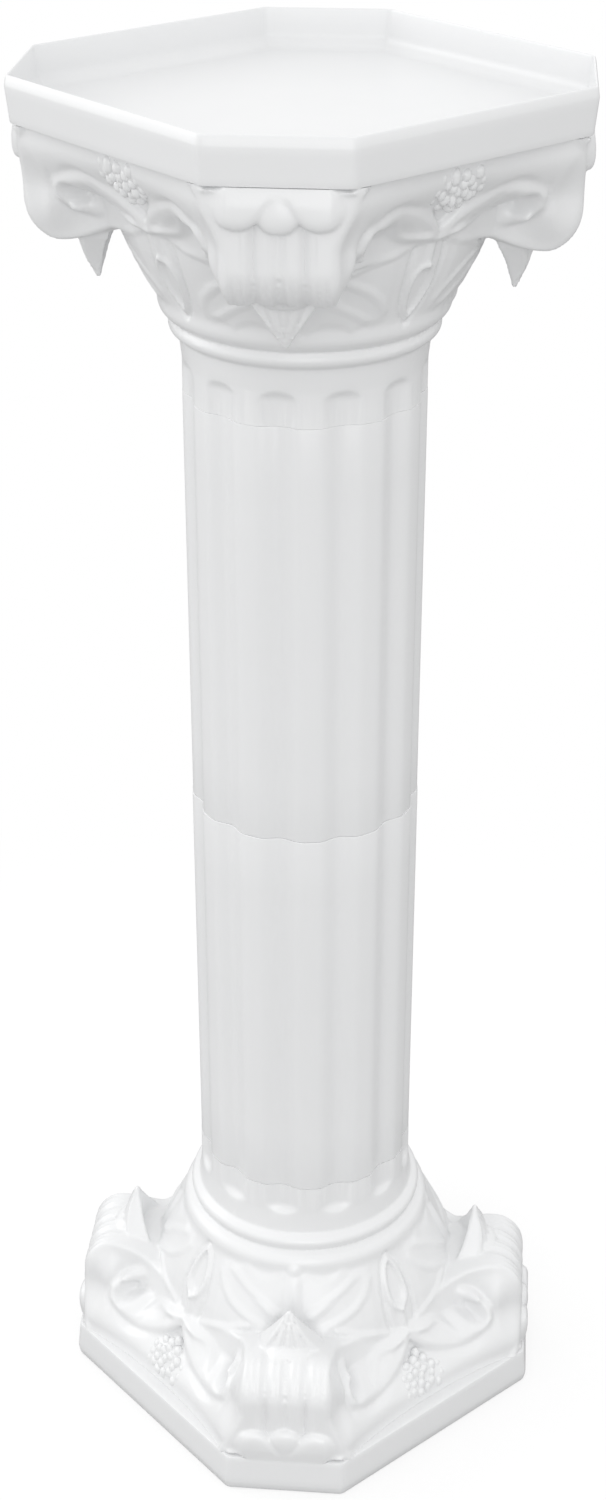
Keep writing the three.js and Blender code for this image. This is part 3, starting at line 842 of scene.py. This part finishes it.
    # hanging leaf tips, each with a rounded swelling under the roll as its root
    heights, *columns = zip(*leafTip["sections"])
    middle, thick, wide = [np.interp(up, heights, column) for column in columns]
    ribWidth = leafTip["ribSpread"] * np.clip(wide, 5, None)
    rib = leafTip["ribs"] * (np.abs(np.cos(math.pi * turn[:, None] / ribWidth[None, :])) - 1)
    leafLine = (middle[None, :] - leafTip["bend"] * turn[:, None] ** 2)[apart]
    inward = np.abs(out - leafLine) - thick[None, None, :] - rib[apart] * (out > leafLine)
    tip = smoothMax(inward, (turned - wide[None, None, :]) * 0.9, s["leafEdge"])
    tip = np.maximum(tip, np.maximum(leafTip["foot"] - z, z - leafTip["top"]))
    field = smoothMin(field, tip, s["leaf"])
    root = (ellipsoid((out, turned, z), leafRoot) - 1) * leafRoot["size"][2]
    field = smoothMin(field, root, s["leafRoot"])

    # hollowed out, and carried past both ends, which are cut level once it is skinned
    hollow = np.interp(up, *zip(*hollowProfile))
    hollow = np.where(up > headSizes["height"] - headSizes["topRecessDepth"], headSizes["topRecess"], hollow)
    field = np.maximum(field, hollow[None, None, :] - radius)
    field = np.maximum(field, np.maximum(headSizes["foot"] - ends - z, z - headSizes["height"] - ends))
    return side, up, field


def mirrored(side, quarter):
    whole = np.concatenate([quarter[:0:-1], quarter], axis=0)
    whole = np.concatenate([whole[:, :0:-1], whole], axis=1)
    return np.concatenate([-side[:0:-1], side]), whole


def cutNeckFlutes(side, up, whole, phase):
    f = neckFlutes
    lowCount = int(np.searchsorted(up, f["end"] + 5))             # no flute reaches above these rows
    x, y = side[:, None], side[None, :]
    pitch = 2 * math.pi / f["count"]
    angle = (np.arctan2(y, x) - phase + pitch / 2) % pitch - pitch / 2
    radius = np.hypot(x, y)
    across, out = radius * np.sin(angle), radius * np.cos(angle) - f["cutCentre"]
    z = up[None, None, :lowCount]
    above = np.clip(z - (f["end"] - f["endRun"]), 0, None) * (f["lean"] / f["endRun"])
    groove = np.sqrt((across ** 2 + out ** 2)[:, :, None] + above ** 2) - f["cutRadius"]
    result = whole.copy()
    result[:, :, :lowCount] = smoothMax(result[:, :, :lowCount], -groove, softness["flute"])
    return result


def skin(side, up, field):
    # one point in each cell that the surface crosses, joined across every crossed edge
    inside = field < 0
    shape = field.shape
    cells = np.zeros([s - 1 for s in shape], dtype=np.int8)
    for i in (0, 1):
        for j in (0, 1):
            for k in (0, 1):
                cells += inside[i:shape[0] - 1 + i, j:shape[1] - 1 + j, k:shape[2] - 1 + k]
    crossed = np.argwhere((cells > 0) & (cells < 8))
    index = np.full(cells.shape, -1, dtype=np.int64)
    index[tuple(crossed.T)] = np.arange(len(crossed))
    total = np.zeros((len(crossed), 3))
    count = np.zeros(len(crossed))
    corner = [(i, j, k) for i in (0, 1) for j in (0, 1) for k in (0, 1)]
    for a in corner:
        for axis in range(3):
            if a[axis]:
                continue
            b = list(a)
            b[axis] = 1
            ca, cb = crossed + np.array(a), crossed + np.array(b)
            va, vb = field[tuple(ca.T)], field[tuple(cb.T)]
            hit = (va < 0) != (vb < 0)
            t = np.where(hit, va / np.where(hit, va - vb, 1), 0)
            point = np.array(a)[None, :] + t[:, None] * (np.array(b) - np.array(a))[None, :]
            total += point * hit[:, None]
            count += hit
    cell = side[1] - side[0]
    points = (crossed + total / count[:, None]) * cell
    points += np.array([side[0], side[0], up[0]])
    quads = []
    for axis in range(3):
        u, v = (axis + 1) % 3, (axis + 2) % 3
        first = [slice(None)] * 3
        second = [slice(None)] * 3
        first[axis], second[axis] = slice(0, -1), slice(1, None)
        low, high = inside[tuple(first)], inside[tuple(second)]
        edges = np.argwhere(low != high)
        edges = edges[(edges[:, u] > 0) & (edges[:, v] > 0)]
        edges = edges[(edges[:, u] < shape[u] - 1) & (edges[:, v] < shape[v] - 1)]
        du, dv = np.zeros(3, dtype=int), np.zeros(3, dtype=int)
        du[u], dv[v] = 1, 1
        ring = [index[tuple((edges - a).T)] for a in (du + dv, dv, 0 * du, du)]
        outward = low[tuple(edges.T)]
        quad = np.stack(ring, axis=1)
        quad[~outward] = quad[~outward][:, ::-1]
        quads.append(quad)
    return points, np.concatenate(quads)


def evenOut(points, quads, rounds, amount):
    # smooths the steps that the cells leave; every second push undoes the shrinking
    pairs = np.concatenate([quads[:, [0, 1]], quads[:, [1, 2]], quads[:, [2, 3]], quads[:, [3, 0]]])
    ends = np.concatenate([pairs[:, 0], pairs[:, 1]])
    others = np.concatenate([pairs[:, 1], pairs[:, 0]])
    weight = np.bincount(ends, minlength=len(points))[:, None]
    for move in rounds * (amount, -amount * 1.04):
        total = np.stack([np.bincount(ends, points[others, a], minlength=len(points)) for a in range(3)], axis=1)
        points = points + move * (total / weight - points)
    return points


def cutLevel(mesh, low, high):
    # slices off what was carved past the two ends and closes each cut with a flat face
    work = bmesh.new()
    work.from_mesh(mesh)
    for height, way in ((low, -1), (high, 1)):
        everything = work.verts[:] + work.edges[:] + work.faces[:]
        cut = bmesh.ops.bisect_plane(work, geom=everything, dist=1e-7, plane_co=(0, 0, height), plane_no=(0, 0, way),
                                     clear_outer=True)
        rim = [item for item in cut["geom_cut"] if isinstance(item, bmesh.types.BMEdge)]
        bmesh.ops.triangle_fill(work, use_beauty=True, edges=rim, normal=(0, 0, way))
    bmesh.ops.recalc_face_normals(work, faces=work.faces)
    work.to_mesh(mesh)
    work.free()


def headPiece(name, side, up, whole, flipped):
    lift = pieceHeights[name]
    points, quads = skin(side, up, cutNeckFlutes(side, up, whole, -fluteTurn if flipped else fluteTurn))
    points = evenOut(points, quads, headSizes["evenRounds"], headSizes["evenAmount"])
    ends = [headSizes["foot"], headSizes["height"]]
    if flipped:
        points = points * np.array([1, -1, -1])
        ends = [-ends[1], -ends[0]]
    points[:, 2] += lift
    mesh = bpy.data.meshes.new(name)
    mesh.vertices.add(len(points))
    mesh.vertices.foreach_set("co", (points * mm).astype(np.float32).ravel())
    mesh.loops.add(4 * len(quads))
    mesh.loops.foreach_set("vertex_index", quads.astype(np.int32).ravel())
    mesh.polygons.add(len(quads))
    mesh.polygons.foreach_set("loop_start", np.arange(0, 4 * len(quads), 4, dtype=np.int32))
    mesh.update(calc_edges=True)
    piece = bpy.data.objects.new(name, mesh)
    bpy.context.collection.objects.link(piece)
    if 2 * len(quads) > headSizes["triangles"]:
        thin = piece.modifiers.new("thin", "DECIMATE")
        thin.ratio = headSizes["triangles"] / (2 * len(quads))
        bakeModifiers(piece)
    cutLevel(piece.data, (ends[0] + lift) * mm, (ends[1] + lift) * mm)
    shade(piece.data, headSizes["smoothAngle"])
    piece.data.materials.append(whiteMaterial)
    print(name, "skinned with", len(quads), "squares, kept", len(piece.data.polygons), "faces")
    return piece


side, up, quarter = headField(headSizes["cell"])
side, whole = mirrored(side, quarter)
print("leafwork field made,", whole.size, "samples")
capital = headPiece("capitalLeafwork", side, up, whole, flipped=False)
base = headPiece("baseLeafwork", side, up, whole, flipped=True)


berrySizes = {
    "Berry Radius": 3.3 * mm,
    "Cluster Width": 31.0 * mm,
    "Cluster Height": 14.0 * mm,
    "Cluster Depth": 4.8 * mm,
    "Broad End": 0.55,             # cut off here, short of the dish's floor
    "Narrowing": 0.75,             # how much slimmer the cluster's pointed end is
    "Reach": 117.6 * mm,
    "Lean": 7.2 * mm,              # how much further out its broad end stands
    "Spacing": 4.7 * mm,
}
berryScale = [(0.75, 0.75, 1.1), (1.05, 1.1, 1.7)]         # least and most


def berryTree():
    tree = Tree("berryClusters", [
        ("Berry Radius", "f"), ("Cluster Width", "f"), ("Cluster Height", "f"), ("Cluster Depth", "f"),
        ("Broad End", "f"), ("Narrowing", "f"), ("Reach", "f"), ("Lean", "f"), ("Height", "f"), ("Up", "f"),
        ("Spacing", "f"), ("Seed", "i"), ("Material", "m"),
    ])
    v = tree.value
    ball = tree.add("GeometryNodeMeshIcoSphere", Radius=1.0, Subdivisions=4)
    # a half ball turned outwards, slimmer towards the joint of the two bands
    spot = tree.add("ShaderNodeSeparateXYZ", Vector=tree.position())
    inward = tree.math("LESS_THAN", spot.outputs["X"], 0.15)
    beyond = tree.math("GREATER_THAN", spot.outputs["Z"], v("Broad End"))
    half = tree.add("GeometryNodeDeleteGeometry", Geometry=ball.outputs["Mesh"],
                    Selection=tree.math("MAXIMUM", inward, beyond))
    fromTop = tree.times(tree.minus(1.0, spot.outputs["Z"]), 0.5)
    slim = tree.minus(1.0, tree.times(fromTop, v("Narrowing")))
    outwards = tree.plus(tree.times(spot.outputs["X"], v("Cluster Depth")), v("Reach"))
    upwards = tree.times(tree.times(spot.outputs["Z"], v("Cluster Height")), v("Up"))
    shaped = tree.vector(
        tree.plus(outwards, tree.times(spot.outputs["Z"], v("Lean"))),
        tree.times(tree.times(spot.outputs["Y"], v("Cluster Width")), slim),
        tree.plus(upwards, v("Height")),
    )
    mound = tree.add("GeometryNodeSetPosition", Geometry=half.outputs[0], Position=shaped)
    points = tree.add("GeometryNodeDistributePointsOnFaces", {"distribute_method": "POISSON"}, Mesh=mound.outputs[0],
                      Distance_Min=v("Spacing"), Density_Max=300000.0, Seed=v("Seed"))
    berry = tree.add("GeometryNodeMeshIcoSphere", Radius=v("Berry Radius"), Subdivisions=2)
    least, most = [tree.vector(*scale) for scale in berryScale]
    scale = tree.add("FunctionNodeRandomValue", {"data_type": "FLOAT_VECTOR"}, Min=least, Max=most, Seed=v("Seed"))
    berries = tree.add("GeometryNodeInstanceOnPoints", Points=points.outputs["Points"], Instance=berry.outputs["Mesh"],
                       Scale=scale.outputs["Value"])
    # one cluster on each of the four sides
    turns = tree.add("GeometryNodeMeshLine", Count=4)
    index = tree.add("GeometryNodeInputIndex")
    spin = tree.vector(0.0, 0.0, tree.times(index.outputs[0], math.pi / 2))
    still = tree.add("GeometryNodeSetPosition", Geometry=turns.outputs["Mesh"], Position=tree.vector(0.0, 0.0, 0.0))
    four = tree.add("GeometryNodeInstanceOnPoints", Points=still.outputs[0], Instance=berries.outputs[0])
    turned = tree.add("GeometryNodeRotateInstances", Instances=four.outputs[0], Rotation=spin)
    return tree.finish(turned.outputs[0])


berries = berryTree()
clusters = {}
# the base stands on its head, so its clusters grow downwards
for name, way, seed in (("capitalBerries", 1.0, 4), ("baseBerries", -1.0, 9)):
    values = dict(berrySizes, Height=pieceHeights[name] * mm, Up=way, Seed=seed, Material=whiteMaterial)
    clusters[name] = nodesPiece(name, berries, values)
    shade(clusters[name].data)
    print(name, "has", len(clusters[name].data.polygons), "faces")


for piece, node in ((tray, "tray"), (plinth, "plinth"), (capital, "capital"), (base, "base"),
                    (shaftPieces["lowerShaftTube"], "lower_shaft"), (shaftPieces["upperShaftTube"], "upper_shaft")):
    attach(piece, node)
    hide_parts(node)
for piece, body in ((clusters["capitalBerries"], "capital"), (clusters["baseBerries"], "base")):
    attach(piece, body)
for node in ("bottom_joint_ring", "middle_joint_ring", "top_joint_ring"):
    ring = frame["nodes"][node]
    for place in ring.material_slots:
        place.material = sleeveMaterial
print("pieces placed on their bodies")


studio = {
    "floorHalf": 14, "floorDrop": 0.0004, "floorRoughness": 0.9,
    "floorColor": (0.95, 0.95, 0.95, 1),
    "floorBounce": (0.36, 0.36, 0.36, 1),     # what the floor throws back at the column
    "floorGlow": 0.72,         # share of plain white in what the camera sees of the floor beside the column
    "glowNear": 0.22, "glowFar": 0.75,        # where that share starts and ends rising to all of it
    "worldStrength": 1.07,
    "lampAim": (0, 0, 0.5),
    # power, size, degrees from the camera's side, height and distance
    "lamps": {
        "frontLamp": (10.2, 1.5, 0, 1.0, 2.4),
        "sideLamp": (11.2, 1.6, -100, 1.3, 2.2),
    },
}


def whiteFloor(s):
    size, low = s["floorHalf"], -s["floorDrop"]
    floor = meshObject("studioFloor", [(-size, -size, low), (size, -size, low), (size, size, low),
                                       (-size, size, low)], [(0, 1, 2, 3)])
    material = bpy.data.materials.new("studioFloor")
    material.use_nodes = True
    nodes, links = material.node_tree.nodes, material.node_tree.links
    paint = nodes["Principled BSDF"]
    paint.inputs["Roughness"].default_value = s["floorRoughness"]
    rays = nodes.new("ShaderNodeLightPath")
    tone = nodes.new("ShaderNodeMix")
    tone.data_type = "RGBA"
    tone.inputs["A"].default_value = s["floorBounce"]
    tone.inputs["B"].default_value = s["floorColor"]
    links.new(rays.outputs["Is Camera Ray"], tone.inputs["Factor"])
    links.new(tone.outputs["Result"], paint.inputs["Base Color"])
    # further out the camera sees more and more of plain white
    place = nodes.new("ShaderNodeTexCoord")
    away = nodes.new("ShaderNodeVectorMath")
    away.operation = "LENGTH"
    links.new(place.outputs["Object"], away.inputs[0])
    share = nodes.new("ShaderNodeMapRange")
    share.interpolation_type = "SMOOTHSTEP"
    ends = {"From Min": s["glowNear"], "From Max": s["glowFar"], "To Min": s["floorGlow"], "To Max": 1.0}
    for socket, value in ends.items():
        share.inputs[socket].default_value = value
    links.new(away.outputs["Value"], share.inputs["Value"])
    seen = nodes.new("ShaderNodeMath")
    seen.operation = "MULTIPLY"
    links.new(share.outputs[0], seen.inputs[0])
    links.new(rays.outputs["Is Camera Ray"], seen.inputs[1])
    glow = nodes.new("ShaderNodeEmission")
    mix = nodes.new("ShaderNodeMixShader")
    links.new(seen.outputs[0], mix.inputs[0])
    links.new(paint.outputs[0], mix.inputs[1])
    links.new(glow.outputs[0], mix.inputs[2])
    links.new(mix.outputs[0], nodes["Material Output"].inputs["Surface"])
    floor.data.materials.append(material)


def softLamp(name, power, size, azimuth, height, distance, aim):
    data = bpy.data.lights.new(name, "AREA")
    data.shape = "DISK"
    data.size = size
    data.energy = power
    lamp = bpy.data.objects.new(name, data)
    bpy.context.collection.objects.link(lamp)
    angle = math.radians(azimuth)
    lamp.location = (distance * math.cos(angle), distance * math.sin(angle), height)
    lamp.rotation_euler = (Vector(aim) - lamp.location).to_track_quat("-Z", "Y").to_euler()


def world(s):
    scene = bpy.context.scene
    scene.world = bpy.data.worlds.new("studio")
    scene.world.use_nodes = True
    nodes, links = scene.world.node_tree.nodes, scene.world.node_tree.links
    ambient = nodes["Background"]
    ambient.inputs["Color"].default_value = (1, 1, 1, 1)
    ambient.inputs["Strength"].default_value = s["worldStrength"]
    behind = nodes.new("ShaderNodeBackground")
    behind.inputs["Color"].default_value = (1, 1, 1, 1)
    behind.inputs["Strength"].default_value = 1.0
    rays = nodes.new("ShaderNodeLightPath")
    mix = nodes.new("ShaderNodeMixShader")
    links.new(rays.outputs["Is Camera Ray"], mix.inputs[0])
    links.new(ambient.outputs[0], mix.inputs[1])
    links.new(behind.outputs[0], mix.inputs[2])
    links.new(mix.outputs[0], nodes["World Output"].inputs["Surface"])


whiteFloor(studio)
for name, (power, size, turned, height, distance) in studio["lamps"].items():
    softLamp(name, power, size, cameraSettings["azimuth"] + turned, height, distance, studio["lampAim"])
world(studio)
bpy.context.scene.view_settings.view_transform = "Standard"
print("floor and light set")
